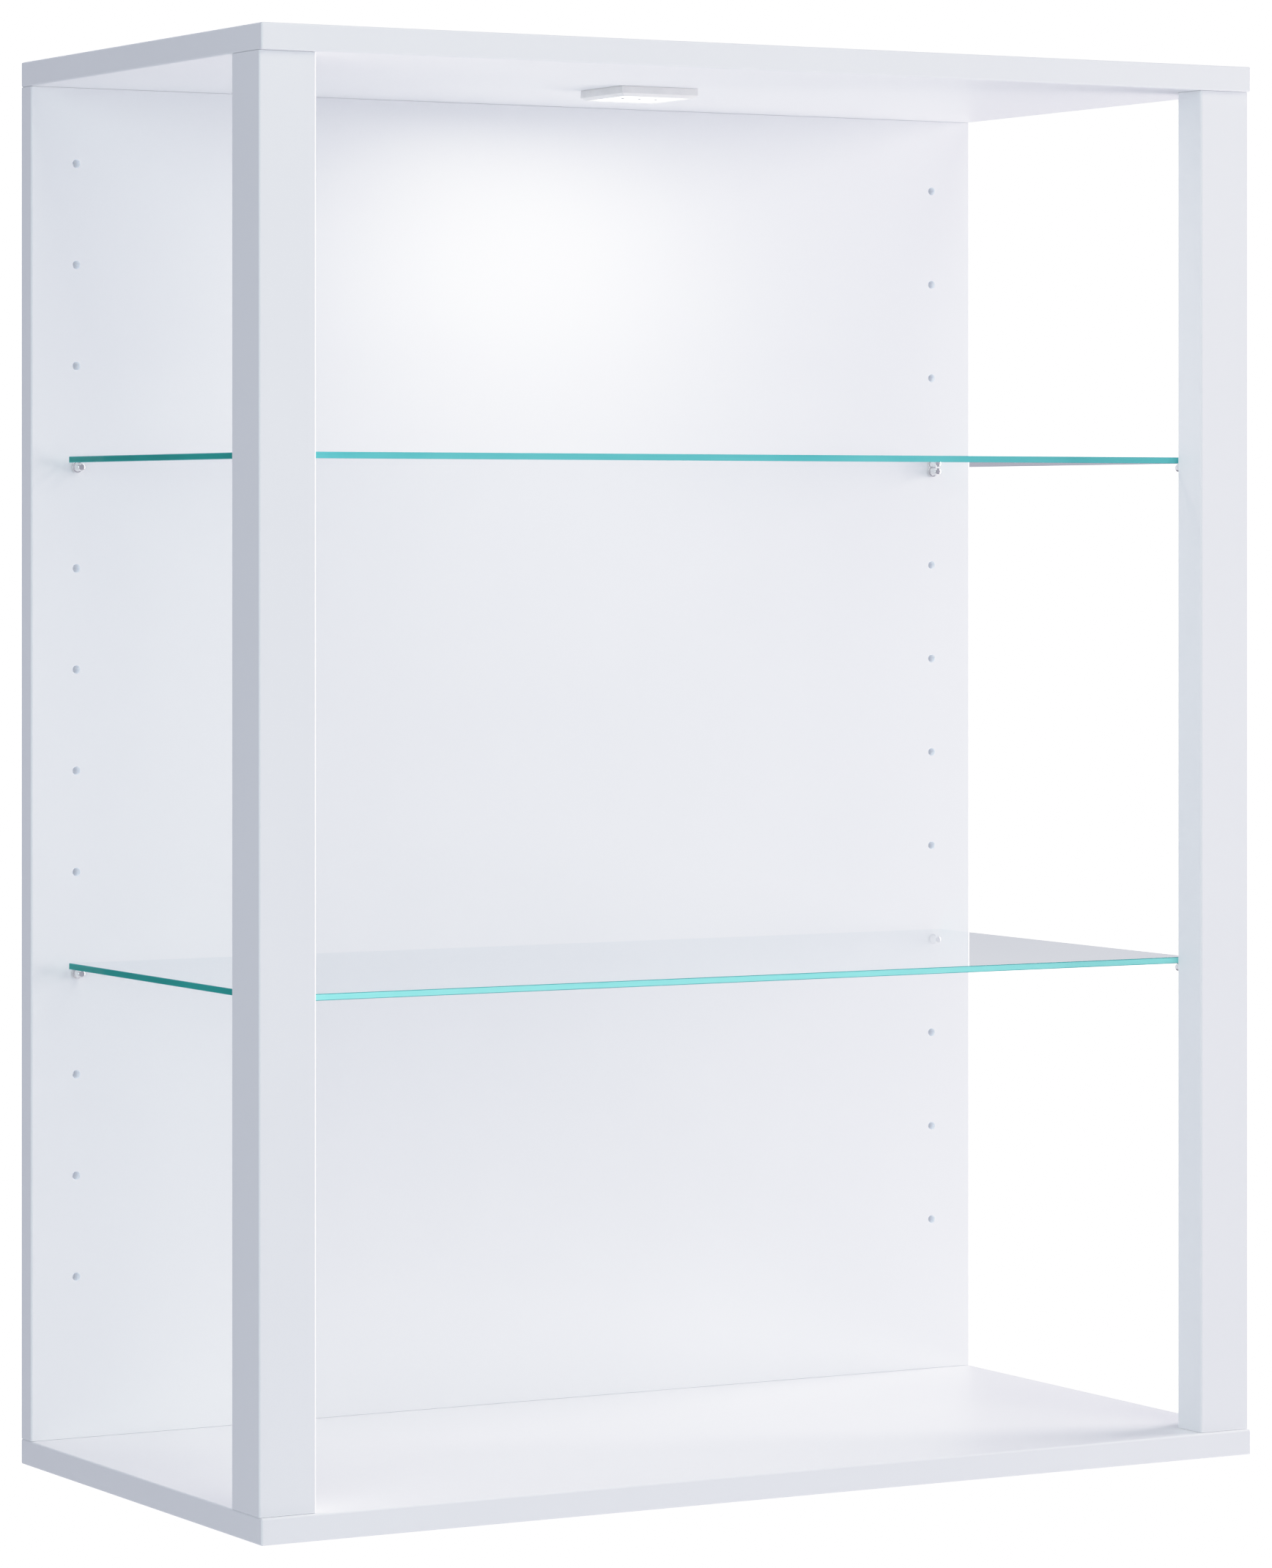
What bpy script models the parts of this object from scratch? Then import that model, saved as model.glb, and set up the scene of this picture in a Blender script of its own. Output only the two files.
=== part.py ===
"""Wall mounted showcase: a white board cabinet, open at the front and both sides, with two glass
shelves on peg pins and a square LED light under the top board.

Metres. X runs along the width and is zero at the middle, +Y points into the wall with the rear
face at zero, and +Z is up with zero at mid height.
"""

import math

import bmesh
import bpy
from mathutils import Vector

MM = 0.001

# Driving dimensions
WIDTH = 0.700
DEPTH = 0.350
HEIGHT = 0.886
BOARD = 0.016  # thickness of the top, bottom and back boards
EDGE = 0.0012  # rounding of the boards' edges
GAP = 0.0003  # clearance between pieces that touch

# Front posts, L shaped: a square bar with its inner rear corner cut away for the shelves
POST_WIDTH = 0.037
POST_DEPTH = 0.0375
POST_STEP = 0.026  # depth from the front to the cut-away step
POST_LEG = 0.023  # thickness of the leg left beside the cut-away
POST_SETBACK = 0.003  # from the boards' front edges

# Peg holes for the shelf pins, in the back board and in the posts' steps
PEG_PITCH = 0.064
PEG_COUNT = 12
PEG_INSET = 0.031  # from each end of the cabinet
FIRST_PEG = 0.118  # above the cabinet's underside
PEG_HOLE_RADIUS = 0.0026
PEG_HOLE_DEPTH = 0.0095
SHELF_PEGS = {"upper": 8, "lower": 3}  # which hole, counted from the lowest, holds each shelf

# Shelf pins
PIN_RADIUS = 0.0025
PIN_SHANK_RADIUS = 0.0023
PIN_SHANK_LENGTH = 0.0085
PIN_COLLAR_RADIUS = 0.0036
PIN_COLLAR = 0.0019  # from the board's face to the collar's outer side
PIN_REACH = 0.0085  # from the board's face to the pin's end

# Glass shelves
GLASS_WIDTH = 0.650
GLASS_DEPTH = 0.300
GLASS = 0.004
GLASS_REAR_GAP = 0.002

# LED light, heights measured down from the top board's underside
LED_SIZE = 0.055
LED_SIDE = 0.0046  # down to where the chamfer starts
LED_HEIGHT = 0.0065
LED_CHAMFER = 0.00275  # how far the chamfer comes in
LED_PLATE = 0.0013  # underside of the housing's plate
LED_LEDGE = 0.0052  # ledge that the diffuser sits against
LED_CAVITY = 0.0455  # width of the space above the ledge
LED_WINDOW = 0.0486  # width of the diffuser's seat
LED_BOARD = (0.042, 0.025, 0.001)
LED_CHIP = (0.005, 0.005, 0.0016)
LED_CHIP_PITCH = 0.012
LED_BACKSET = 0.018  # of the cable hole and screws from the light's middle
LED_SCREW_RADIUS = 0.0013
LED_SCREW_HEAD_RADIUS = 0.0028
LED_SCREW_HEAD = 0.0018
LED_SCREW_LENGTH = 0.010  # above the top board's underside
LED_PILOT_DEPTH = 0.011
CABLE_RADIUS = 0.0035
GROMMET_HOLE_RADIUS = 0.0055
GROMMET_FLANGE_RADIUS = 0.0085
GROMMET_FLANGE = 0.0015

# Keyhole hanger plates let into the back board's rear face
HANGER_SIZE = (0.050, 0.030)
HANGER_THICKNESS = 0.0015
HANGER_INSET = 0.096  # from each end of the cabinet
HANGER_DROP = 0.096  # below the cabinet's top
HANGER_CORNER = 0.003
HANGER_SCREW_X = 0.018
HANGER_SCREW_HEAD_RADIUS = 0.0033
HANGER_SCREW_RADIUS = 0.0015
HANGER_SCREW_LENGTH = 0.013
KEYHOLE_RADIUS = 0.005
KEYHOLE_SLOT_RADIUS = 0.00265
KEYHOLE_DROP = 0.004  # of the round hole below the plate's middle
KEYHOLE_RISE = 0.006  # of the slot's end above the plate's middle
KEYHOLE_POCKET = (0.014, 0.0105, 0.022)

# Cam fittings and dowels between the back board and the top and bottom boards
CAM_INSET = 0.096
CAM_REACH = 0.034  # from the board's end to the cam's centre
CAM_RADIUS = 0.0072
CAM_DEPTH = 0.0122
CAM_MOUTH = (0.0038, 0.012, 0.004)  # radius, length, and offset towards the bolt
CAM_CROSS = (0.0065, 0.004, 0.0012)  # one arm of the driver recess: long, deep, wide
CAM_BORE_RADIUS = 0.004  # way from the back board's end to the cam
BOLT_NECK_RADIUS = 0.0020
BOLT_THREAD_RADIUS = 0.0026
BOLT_COLLAR_RADIUS = 0.0034  # also the ball that the cam grips
BOLT_THREAD = 0.0105  # length above the joint, in the horizontal board
BOLT_HOLE = (0.0030, 0.011)  # radius and depth in the horizontal board
DOWEL_INSET = 0.160
DOWEL_RADIUS = 0.0037
DOWEL_DEEP = 0.0185  # into the end of an upright
DOWEL_SHALLOW = 0.0105  # into a horizontal board

# Screws that hold the posts, under flush cover caps
POST_SCREW = (0.015, 0.013)  # from the cabinet's side and from the post's front
POST_DOWEL = (0.028, 0.013)
POST_SCREW_RADIUS = 0.0033
POST_SCREW_LENGTH = 0.047
POST_SCREW_HEAD_RADIUS = 0.005
POST_SCREW_CONE = 0.0035  # height of the head's countersink
POST_SCREW_TIP = (0.0008, 0.004)  # radius of the point and length of its taper
POST_SCREW_RECESS = (0.0018, 0.0020)  # radius and depth of the driver recess
CAP_RADIUS = 0.006
CAP = 0.0018

# Levels and faces that follow from them
TOP = HEIGHT / 2
BOTTOM = -HEIGHT / 2
CEILING = TOP - BOARD
FLOOR = BOTTOM + BOARD
CLEAR_HEIGHT = CEILING - FLOOR
BACK_FACE = -BOARD
MID_BACK = -BOARD / 2
POST_FRONT = -DEPTH + POST_SETBACK
STEP_FACE = POST_FRONT + POST_STEP
LED_Y = -DEPTH / 2

ROUND = 20  # sides of a large round piece
SMALL_ROUND = 12  # sides of a small round piece

SIDES = {"left": -1, "right": 1}
ENDS = {"top": 1, "bottom": -1}


# ---------------------------------------------------------------- scene and materials


def clear_scene():
    for thing in list(bpy.data.objects):
        bpy.data.objects.remove(thing)


def collection(name):
    made = bpy.data.collections.new(name)
    bpy.context.scene.collection.children.link(made)
    return made


def material(name, color, roughness, metallic=0.0, alpha=1.0):
    made = bpy.data.materials.new(name)
    made.use_nodes = True
    shader = made.node_tree.nodes["Principled BSDF"]
    shader.inputs["Base Color"].default_value = (*color, 1.0)
    shader.inputs["Roughness"].default_value = roughness
    shader.inputs["Metallic"].default_value = metallic
    shader.inputs["Alpha"].default_value = alpha
    made.diffuse_color = (*color, alpha)
    return made


# ---------------------------------------------------------------- shapes


def mesh_object(name, shape):
    """An object made from a bmesh, which is used up."""
    mesh = bpy.data.meshes.new(name)
    shape.to_mesh(mesh)
    shape.free()
    return bpy.data.objects.new(name, mesh)


def block(name, size, at=(0, 0, 0), edge=0.0, segments=2):
    shape = bmesh.new()
    bmesh.ops.create_cube(shape, size=1.0)
    bmesh.ops.scale(shape, vec=Vector(size), verts=shape.verts)
    thing = mesh_object(name, shape)
    thing.location = at
    if edge:
        bevel = thing.modifiers.new("rounded edges", "BEVEL")
        bevel.width = edge
        bevel.segments = segments
    return thing


def rod(name, radius, length, at=(0, 0, 0), tilt=(0, 0, 0), sides=SMALL_ROUND):
    shape = bmesh.new()
    bmesh.ops.create_cone(
        shape, cap_ends=True, segments=sides, radius1=radius, radius2=radius, depth=length
    )
    thing = mesh_object(name, shape)
    thing.location = at
    thing.rotation_euler = tilt
    return thing


def turned(name, profile, at=(0, 0, 0), tilt=(0, 0, 0), sides=SMALL_ROUND, closed=False):
    """A profile of (radius, height) points, listed top to bottom, turned about Z."""
    shape = bmesh.new()
    points = [shape.verts.new((radius, 0, height)) for radius, height in profile]
    for first, second in zip(points, points[1:]):
        shape.edges.new((first, second))
    if closed:
        shape.edges.new((points[-1], points[0]))
    thing = mesh_object(name, shape)
    thing.location = at
    thing.rotation_euler = tilt
    screw = thing.modifiers.new("turned", "SCREW")
    screw.steps = sides
    screw.render_steps = sides
    screw.use_merge_vertices = True
    screw.merge_threshold = 0.00001
    return thing


def rounded(corners, radius, steps=3):
    """The outline of a right-angled shape with an arc at each corner."""
    outline = []
    for i, corner in enumerate(corners):
        here = Vector(corner)
        back = (Vector(corners[i - 1]) - here).normalized()
        ahead = (Vector(corners[(i + 1) % len(corners)]) - here).normalized()
        centre = here + (back + ahead) * radius
        for step in range(steps + 1):
            angle = math.pi / 2 * step / steps
            outline.append(centre - (ahead * math.cos(angle) + back * math.sin(angle)) * radius)
    return outline


def rectangle(width, height):
    return [
        (-width / 2, -height / 2),
        (width / 2, -height / 2),
        (width / 2, height / 2),
        (-width / 2, height / 2),
    ]


def arc(radius, start, end, centre=(0, 0), steps=12):
    """Points on a circle between two angles in degrees."""
    outline = []
    for step in range(steps + 1):
        angle = math.radians(start + (end - start) * step / steps)
        outline.append((centre[0] + radius * math.cos(angle), centre[1] + radius * math.sin(angle)))
    return outline


def extruded(name, outlines, length, at=(0, 0, 0), tilt=(0, 0, 0)):
    """Flat outlines, the later ones holes in the first, drawn out along Z into a mesh object."""
    curve = bpy.data.curves.new(name, "CURVE")
    curve.dimensions = "2D"
    curve.fill_mode = "BOTH"
    curve.extrude = length / 2
    for outline in outlines:
        spline = curve.splines.new("POLY")
        spline.points.add(len(outline) - 1)
        for point, (x, y) in zip(spline.points, outline):
            point.co = (x, y, 0, 1)
        spline.use_cyclic_u = True
    flat = bpy.data.objects.new(name, curve)
    bpy.context.scene.collection.objects.link(flat)
    graph = bpy.context.evaluated_depsgraph_get()
    mesh = bpy.data.meshes.new_from_object(flat.evaluated_get(graph))
    bpy.data.objects.remove(flat)
    shape = bmesh.new()
    shape.from_mesh(mesh)
    bmesh.ops.remove_doubles(shape, verts=shape.verts, dist=0.000001)
    bmesh.ops.recalc_face_normals(shape, faces=shape.faces)
    thing = mesh_object(name, shape)
    thing.location = at
    thing.rotation_euler = tilt
    return thing


def smooth(thing):
    """Smooth shading with the sharp edges kept."""
    thing.data.shade_smooth()
    thing.data.set_sharp_from_angle(angle=math.radians(35))


# ---------------------------------------------------------------- build lists


class Assembly:
    """Keeps the parts, the cutters and the empties they hang from."""

    def __init__(self, name):
        self.parts = collection(name)
        self.cutters = collection("cutters")
        self.frame = None
        self.frame = self.empty("cabinet_frame", (0, 0, 0))

    def empty(self, name, at):
        made = bpy.data.objects.new(name, None)
        made.empty_display_size = 0.02
        made.location = at
        made.parent = self.frame
        self.parts.objects.link(made)
        return made

    def add(self, thing, look, parent=None):
        """Takes a part in, hanging it from an empty without moving it."""
        self.parts.objects.link(thing)
        holder = parent or self.frame
        thing.location = Vector(thing.location) - Vector(holder.location)
        thing.parent = holder
        thing.data.materials.append(look)
        return thing

    def cut(self, thing, cutter):
        self.cutters.objects.link(cutter)
        cutter.hide_render = True
        cutter.display_type = "WIRE"
        boolean = thing.modifiers.new(cutter.name, "BOOLEAN")
        boolean.operation = "DIFFERENCE"
        boolean.solver = "EXACT"
        boolean.object = cutter


def peg_height(number):
    return BOTTOM + FIRST_PEG + number * PEG_PITCH


def peg_holes(name, x, face_y):
    """A column of cutters for blind peg holes, centred on the face that they are drilled from."""
    holes = rod(
        name,
        PEG_HOLE_RADIUS,
        2 * PEG_HOLE_DEPTH,
        (x, face_y, peg_height(0)),
        (math.pi / 2, 0, 0),
        sides=10,
    )
    array = holes.modifiers.new("column", "ARRAY")
    array.count = PEG_COUNT
    array.use_relative_offset = False
    array.use_constant_offset = True
    array.constant_offset_displace = (0, PEG_PITCH, 0)
    return holes


# ---------------------------------------------------------------- boards and posts


def make_boards(kit, look):
    horizontal = {}
    for end, up in ENDS.items():
        board = block(
            f"{end}_panel",
            (WIDTH, DEPTH, BOARD),
            (0, -DEPTH / 2, up * (TOP - BOARD / 2)),
            EDGE,
        )
        horizontal[end] = kit.add(board, look)
    back = extruded(
        "back_panel",
        [rounded(rectangle(WIDTH, BOARD), EDGE, steps=2)],
        CLEAR_HEIGHT - 2 * GAP,
        (0, MID_BACK, 0),
    )
    kit.add(back, look)
    for side, sign in SIDES.items():
        x = sign * (WIDTH / 2 - PEG_INSET)
        kit.cut(back, peg_holes(f"cut_back_pegs_{side}", x, BACK_FACE))
    return horizontal, back


def make_posts(kit, look):
    posts = {}
    corners = [
        (0, 0),
        (POST_WIDTH, 0),
        (POST_WIDTH, POST_STEP),
        (POST_LEG, POST_STEP),
        (POST_LEG, POST_DEPTH),
        (0, POST_DEPTH),
    ]
    for side, sign in SIDES.items():
        outline = [(-sign * x, y) for x, y in corners][::-sign]
        post = extruded(
            f"{side}_front_post",
            [rounded(outline, EDGE, steps=2)],
            CLEAR_HEIGHT - 2 * GAP,
            (sign * WIDTH / 2, POST_FRONT, 0),
        )
        posts[side] = kit.add(post, look)
        x = sign * (WIDTH / 2 - PEG_INSET)
        kit.cut(post, peg_holes(f"cut_post_pegs_{side}", x, STEP_FACE))
    return posts


# ---------------------------------------------------------------- shelves and their pins


def make_shelves(kit, look):
    for level, peg in SHELF_PEGS.items():
        centre_y = BACK_FACE - GLASS_REAR_GAP - GLASS_DEPTH / 2
        underside = peg_height(peg) + PIN_RADIUS + GAP
        seat = kit.empty(f"{level}_shelf_lift", (0, centre_y, underside))
        glass = block(
            f"{level}_glass_shelf",
            (GLASS_WIDTH, GLASS_DEPTH, GLASS),
            (0, centre_y, underside + GLASS / 2),
            0.0004,
            segments=1,
        )
        kit.add(glass, look, seat)


def make_shelf_pins(kit, look):
    """Turned pins: a shank in the peg hole, a collar at the face and an arm under the glass."""
    profile = [
        (0, PIN_REACH),
        (PIN_RADIUS - 0.4 * MM, PIN_REACH),
        (PIN_RADIUS, PIN_REACH - 0.4 * MM),
        (PIN_RADIUS, PIN_COLLAR),
        (PIN_COLLAR_RADIUS - 0.2 * MM, PIN_COLLAR),
        (PIN_COLLAR_RADIUS, PIN_COLLAR - 0.2 * MM),
        (PIN_COLLAR_RADIUS, GAP),
        (PIN_SHANK_RADIUS, GAP),
        (PIN_SHANK_RADIUS, -PIN_SHANK_LENGTH + 0.5 * MM),
        (PIN_SHANK_RADIUS - 0.5 * MM, -PIN_SHANK_LENGTH),
        (0, -PIN_SHANK_LENGTH),
    ]
    faces = {"rear": (BACK_FACE, math.pi / 2), "front": (STEP_FACE, -math.pi / 2)}
    for level, peg in SHELF_PEGS.items():
        for row, (face_y, turn) in faces.items():
            for side, sign in SIDES.items():
                pin = turned(
                    f"{level}_shelf_pin_{row}_{side}",
                    profile,
                    (sign * (WIDTH / 2 - PEG_INSET), face_y, peg_height(peg)),
                    (turn, 0, 0),
                )
                smooth(pin)
                kit.add(pin, look)


# ---------------------------------------------------------------- joints between the boards


def cam_bore(name, x, up):
    """The way for a cam bolt, from the back board's end to the cam."""
    return rod(
        name,
        CAM_BORE_RADIUS,
        2 * CAM_REACH,
        (x, MID_BACK, up * CLEAR_HEIGHT / 2),
    )


def make_cam_fittings(kit, boards, back, cam_look, bolt_look):
    bolt_profile = [
        (0, BOLT_THREAD),
        (BOLT_NECK_RADIUS, BOLT_THREAD),
        (BOLT_THREAD_RADIUS, BOLT_THREAD - 1.0 * MM),
        (BOLT_THREAD_RADIUS, -0.5 * MM),
        (BOLT_COLLAR_RADIUS, -0.5 * MM),
        (BOLT_COLLAR_RADIUS, -3.5 * MM),
        (BOLT_NECK_RADIUS, -5.0 * MM),
        (BOLT_NECK_RADIUS, -CAM_REACH + 3.5 * MM),
        (BOLT_COLLAR_RADIUS, -CAM_REACH + 2.0 * MM),
        (BOLT_COLLAR_RADIUS, -CAM_REACH - 0.5 * MM),
        (BOLT_NECK_RADIUS + 0.2 * MM, -CAM_REACH - 1.5 * MM),
        (0, -CAM_REACH - 1.5 * MM),
    ]
    bolt_hole_radius, bolt_hole_depth = BOLT_HOLE
    mouth_radius, mouth_length, mouth_offset = CAM_MOUTH
    for end, up in ENDS.items():
        for side, sign in SIDES.items():
            place = f"{end}_{side}"
            x = sign * (WIDTH / 2 - CAM_INSET)
            joint = up * CLEAR_HEIGHT / 2
            centre = joint - up * CAM_REACH
            pocket = rod(
                f"cut_cam_pocket_{place}",
                CAM_RADIUS + GAP,
                2 * (CAM_DEPTH + GAP),
                (x, 0, centre),
                (math.pi / 2, 0, 0),
                ROUND,
            )
            kit.cut(back, pocket)
            kit.cut(back, cam_bore(f"cut_cam_bore_{place}", x, up))

            cam = rod(
                f"cam_lock_{place}",
                CAM_RADIUS,
                CAM_DEPTH - GAP,
                (x, -(CAM_DEPTH + GAP) / 2, centre),
                (math.pi / 2, 0, 0),
                ROUND,
            )
            kit.add(cam, cam_look)
            mouth_at = (x, MID_BACK, centre + up * mouth_offset)
            kit.cut(cam, rod(f"cut_cam_mouth_{place}", mouth_radius, mouth_length, mouth_at))
            for turn, size in enumerate((CAM_CROSS[::-1], CAM_CROSS)):
                kit.cut(cam, block(f"cut_cam_cross_{place}_{turn}", size, (x, 0, centre)))

            at = (x, MID_BACK, joint)
            bolt = turned(f"cam_bolt_{place}", bolt_profile, at, (0 if up > 0 else math.pi, 0, 0))
            smooth(bolt)
            kit.add(bolt, bolt_look)
            hole = rod(f"cut_bolt_{place}", bolt_hole_radius, 2 * bolt_hole_depth, at)
            kit.cut(boards[end], hole)


def dowel(name, x, y, joint, up):
    """A dowel standing across a joint, its long half in the upright."""
    high = DOWEL_SHALLOW
    low = -DOWEL_DEEP
    thing = turned(
        name,
        [
            (0, high),
            (DOWEL_RADIUS - 0.8 * MM, high),
            (DOWEL_RADIUS, high - 0.8 * MM),
            (DOWEL_RADIUS, low + 0.8 * MM),
            (DOWEL_RADIUS - 0.8 * MM, low),
            (0, low),
        ],
        (x, y, joint),
        (0 if up > 0 else math.pi, 0, 0),
    )
    smooth(thing)
    return thing


def dowel_hole(name, x, y, joint, depth):
    return rod(name, DOWEL_RADIUS + GAP, 2 * (depth + GAP), (x, y, joint))


def make_dowels(kit, boards, back, posts, look):
    for end, up in ENDS.items():
        joint = up * CLEAR_HEIGHT / 2
        for side, sign in SIDES.items():
            post_x = sign * (WIDTH / 2 - POST_DOWEL[0])
            places = {
                "back": (back, sign * (WIDTH / 2 - DOWEL_INSET), MID_BACK),
                "post": (posts[side], post_x, POST_FRONT + POST_DOWEL[1]),
            }
            for owner, (upright, x, y) in places.items():
                name = f"{owner}_dowel_{end}_{side}"
                kit.add(dowel(name, x, y, joint, up), look)
                kit.cut(upright, dowel_hole(f"cut_{name}_deep", x, y, joint, DOWEL_DEEP))
                kit.cut(boards[end], dowel_hole(f"cut_{name}_shallow", x, y, joint, DOWEL_SHALLOW))


def make_post_screws(kit, boards, posts, screw_look, cap_look):
    """A screw goes through each board into the post's end, under a cap that lies flush."""
    head_top = -CAP - GAP
    head = POST_SCREW_HEAD_RADIUS
    shank = POST_SCREW_RADIUS
    tip = head_top - POST_SCREW_LENGTH
    tip_radius, taper = POST_SCREW_TIP
    recess_radius, recess_depth = POST_SCREW_RECESS
    profile = [
        (0, head_top - recess_depth),
        (recess_radius, head_top - recess_depth),
        (recess_radius + 0.2 * MM, head_top),
        (head, head_top),
        (shank, head_top - POST_SCREW_CONE),
        (shank, tip + taper),
        (tip_radius, tip),
        (0, tip),
    ]
    way = [
        (0, 2.0 * MM),
        (CAP_RADIUS + GAP, 2.0 * MM),
        (CAP_RADIUS + GAP, head_top),
        (head + GAP, head_top),
        (head + GAP, head_top - 2 * GAP),
        (shank + GAP, head_top - POST_SCREW_CONE - 0.7 * MM),
        (shank + GAP, tip - 1.0 * MM),
        (0, tip - 1.0 * MM),
    ]
    for end, up in ENDS.items():
        tilt = (0 if up > 0 else math.pi, 0, 0)
        for side, sign in SIDES.items():
            place = f"{end}_{side}"
            at = (sign * (WIDTH / 2 - POST_SCREW[0]), POST_FRONT + POST_SCREW[1], up * TOP)
            screw = turned(f"post_screw_{place}", profile, at, tilt)
            smooth(screw)
            kit.add(screw, screw_look)
            kit.cut(boards[end], turned(f"cut_screw_board_{place}", way, at, tilt))
            kit.cut(posts[side], turned(f"cut_screw_post_{place}", way, at, tilt))
            cap = turned(
                f"screw_cap_{place}",
                [
                    (0, 0),
                    (CAP_RADIUS - 0.4 * MM, 0),
                    (CAP_RADIUS, -0.3 * MM),
                    (CAP_RADIUS, -CAP),
                    (0, -CAP),
                ],
                at,
                tilt,
                ROUND,
            )
            smooth(cap)
            kit.add(cap, cap_look)


# ---------------------------------------------------------------- LED light


def make_light(kit, top_board, looks):
    middle = (0, LED_Y, CEILING)
    square = math.sqrt(2) / 2  # from a square's width to its corner's distance from the middle
    housing = turned(
        "led_housing",
        [
            (0, -GAP),
            (LED_SIZE * square, -GAP),
            (LED_SIZE * square, -LED_SIDE),
            ((LED_SIZE - 2 * LED_CHAMFER) * square, -LED_HEIGHT),
            (LED_WINDOW * square, -LED_HEIGHT),
            (LED_WINDOW * square, -LED_LEDGE),
            (LED_CAVITY * square, -LED_LEDGE),
            (LED_CAVITY * square, -LED_PLATE),
            (0, -LED_PLATE),
        ],
        middle,
        (0, 0, math.pi / 4),
        sides=4,
    )
    kit.add(housing, looks["housing"])

    diffuser_top = LED_LEDGE + GAP
    diffuser_width = LED_WINDOW - 2 * GAP
    diffuser = block(
        "led_diffuser",
        (diffuser_width, diffuser_width, LED_HEIGHT - diffuser_top),
        (0, LED_Y, CEILING - (diffuser_top + LED_HEIGHT) / 2),
        0.0002,
        segments=1,
    )
    kit.add(diffuser, looks["diffuser"])

    board_top = LED_PLATE + GAP
    circuit = block(
        "led_circuit_board", LED_BOARD, (0, LED_Y, CEILING - board_top - LED_BOARD[2] / 2)
    )
    kit.add(circuit, looks["circuit"])
    chip_top = board_top + LED_BOARD[2] + GAP
    for name, place in (("left", -1), ("centre", 0), ("right", 1)):
        chip = block(
            f"led_chip_{name}",
            LED_CHIP,
            (place * LED_CHIP_PITCH, LED_Y, CEILING - chip_top - LED_CHIP[2] / 2),
            0.0003,
            segments=1,
        )
        kit.add(chip, looks["chip"])

    for side, sign in SIDES.items():
        at = (sign * LED_BACKSET, LED_Y - sign * LED_BACKSET, CEILING)
        make_light_screw(kit, side, at, housing, top_board, looks["screw"])
    make_cable_inlet(kit, housing, top_board, looks["grommet"])


def make_light_screw(kit, side, at, housing, top_board, look):
    """A round-headed screw that holds the housing's plate up against the board."""
    seat = -LED_PLATE - GAP
    screw = turned(
        f"led_screw_{side}",
        [
            (0, LED_SCREW_LENGTH),
            (LED_SCREW_RADIUS - 0.3 * MM, LED_SCREW_LENGTH - 1.5 * MM),
            (LED_SCREW_RADIUS, LED_SCREW_LENGTH - 2.0 * MM),
            (LED_SCREW_RADIUS, seat),
            (LED_SCREW_HEAD_RADIUS, seat),
            (LED_SCREW_HEAD_RADIUS - 0.2 * MM, seat - LED_SCREW_HEAD + 0.8 * MM),
            (LED_SCREW_HEAD_RADIUS - 1.2 * MM, seat - LED_SCREW_HEAD + 0.2 * MM),
            (0, seat - LED_SCREW_HEAD),
        ],
        at,
    )
    smooth(screw)
    kit.add(screw, look)
    through = LED_SCREW_RADIUS + 0.4 * MM
    kit.cut(housing, rod(f"cut_led_screw_{side}", through, 6 * LED_PLATE, at))
    pilot = LED_SCREW_RADIUS + GAP
    kit.cut(top_board, rod(f"cut_led_pilot_{side}", pilot, 2 * LED_PILOT_DEPTH, at))


def make_cable_inlet(kit, housing, top_board, look):
    """A grommet through the top board, over a hole in the housing's plate."""
    y = LED_Y + LED_BACKSET
    at = (0, y, CEILING)
    way = rod("cut_led_cable", CABLE_RADIUS + 0.5 * MM, 6 * LED_PLATE, at, sides=ROUND)
    kit.cut(housing, way)
    kit.cut(top_board, rod("cut_grommet", GROMMET_HOLE_RADIUS, 4 * BOARD, at, sides=ROUND))
    sleeve = GROMMET_HOLE_RADIUS - GAP
    flange_top = GAP + GROMMET_FLANGE
    grommet = turned(
        "cable_grommet",
        [
            (CABLE_RADIUS, flange_top),
            (GROMMET_FLANGE_RADIUS - 0.5 * MM, flange_top),
            (GROMMET_FLANGE_RADIUS, flange_top - 0.5 * MM),
            (GROMMET_FLANGE_RADIUS, GAP),
            (sleeve, GAP),
            (sleeve, -BOARD),
            (CABLE_RADIUS, -BOARD),
        ],
        (0, y, TOP),
        sides=ROUND,
        closed=True,
    )
    smooth(grommet)
    kit.add(grommet, look)


# ---------------------------------------------------------------- wall hangers


def make_hangers(kit, back, plate_look, screw_look):
    low = (0, -KEYHOLE_DROP)
    high = (0, KEYHOLE_RISE)
    meet = math.degrees(math.asin(KEYHOLE_SLOT_RADIUS / KEYHOLE_RADIUS))
    keyhole = arc(KEYHOLE_RADIUS, 90 + meet, 450 - meet, low, steps=20)
    keyhole += arc(KEYHOLE_SLOT_RADIUS, 0, 180, high)
    outer = rounded(rectangle(*HANGER_SIZE), HANGER_CORNER)
    height = TOP - HANGER_DROP
    plate_y = -GAP - HANGER_THICKNESS / 2
    recess = HANGER_THICKNESS + 2 * GAP
    for side, sign in SIDES.items():
        x = sign * (WIDTH / 2 - HANGER_INSET)
        plate = extruded(
            f"hanger_plate_{side}",
            [outer, keyhole],
            HANGER_THICKNESS,
            (x, plate_y, height),
            (math.pi / 2, 0, 0),
        )
        kit.add(plate, plate_look)
        around = rectangle(HANGER_SIZE[0] + 2 * GAP, HANGER_SIZE[1] + 2 * GAP)
        seat = extruded(
            f"cut_hanger_{side}",
            [rounded(around, HANGER_CORNER)],
            2 * recess,
            (x, 0, height),
            (math.pi / 2, 0, 0),
        )
        kit.cut(back, seat)
        wide, deep, tall = KEYHOLE_POCKET
        kit.cut(back, block(f"cut_pocket_{side}", (wide, 2 * deep, tall), (x, 0, height)))
        for edge, place in (("outer", sign), ("inner", -sign)):
            at = (x + place * HANGER_SCREW_X, 0, height)
            make_hanger_screw(kit, f"{side}_{edge}", at, plate, back, screw_look)


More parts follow.
